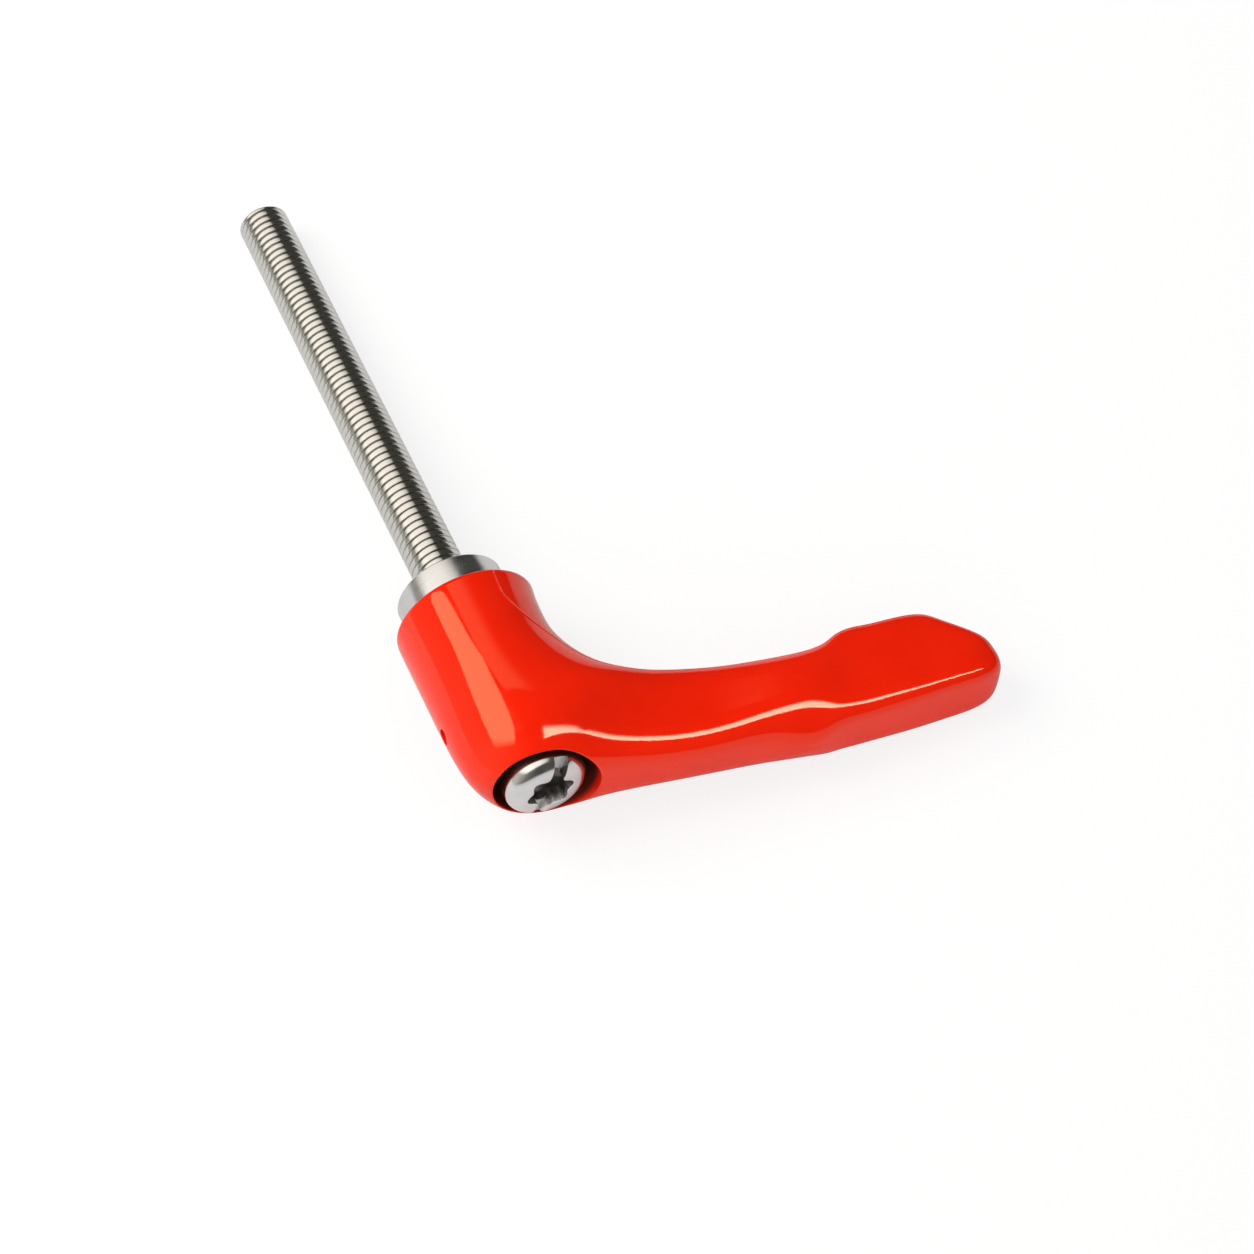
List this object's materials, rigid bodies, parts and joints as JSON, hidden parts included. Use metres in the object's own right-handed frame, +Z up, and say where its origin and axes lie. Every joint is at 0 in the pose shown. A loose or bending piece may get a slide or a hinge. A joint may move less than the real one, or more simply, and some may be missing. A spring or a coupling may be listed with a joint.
{
  "type": "clamping lever",
  "caption": "Adjustable clamping lever: a cast, coated lever with a stepped grip, locked on a toothed insert with a long threaded stud, a spring and a retaining screw.",
  "frame": {"origin": "centre of the collar's clamping face, on the stud's axis", "axes": "+Y along the stud, away from the lever; +X along the arm; +Z up as the lever lies on its side"},
  "size_m": [0.0774, 0.1248, 0.0204],
  "materials": {
    "lever_coat": "gloss powder coat on a zinc casting",
    "turned_stainless": "finely turned stainless",
    "thread_stainless": "rolled thread, bright stainless",
    "screw_steel": "bright stainless, lightly polished",
    "spring_wire": "drawn spring wire"
  },
  "bodies": {
    "stud_assembly": {"threaded_stud": "thread_stainless", "toothed_insert": "turned_stainless", "retaining_screw": "screw_steel"},
    "spring": {"compression_spring": "spring_wire"},
    "lever": {"lever": "lever_coat"}
  },
  "joints": [
    {"name": "index_turn", "type": "hinge", "parent": "stud_assembly", "child": "spring", "pos_m": [0, 0, 0], "axis": [0, -1, 0], "continuous": true},
    {"name": "lift", "type": "slide", "parent": "spring", "child": "lever", "axis": [0, -1, 0], "range_m": [0, 0.0045], "stiffness_N_per_m": 3000, "springref_m": -0.004, "deforming": ["compression_spring"]}
  ]
}
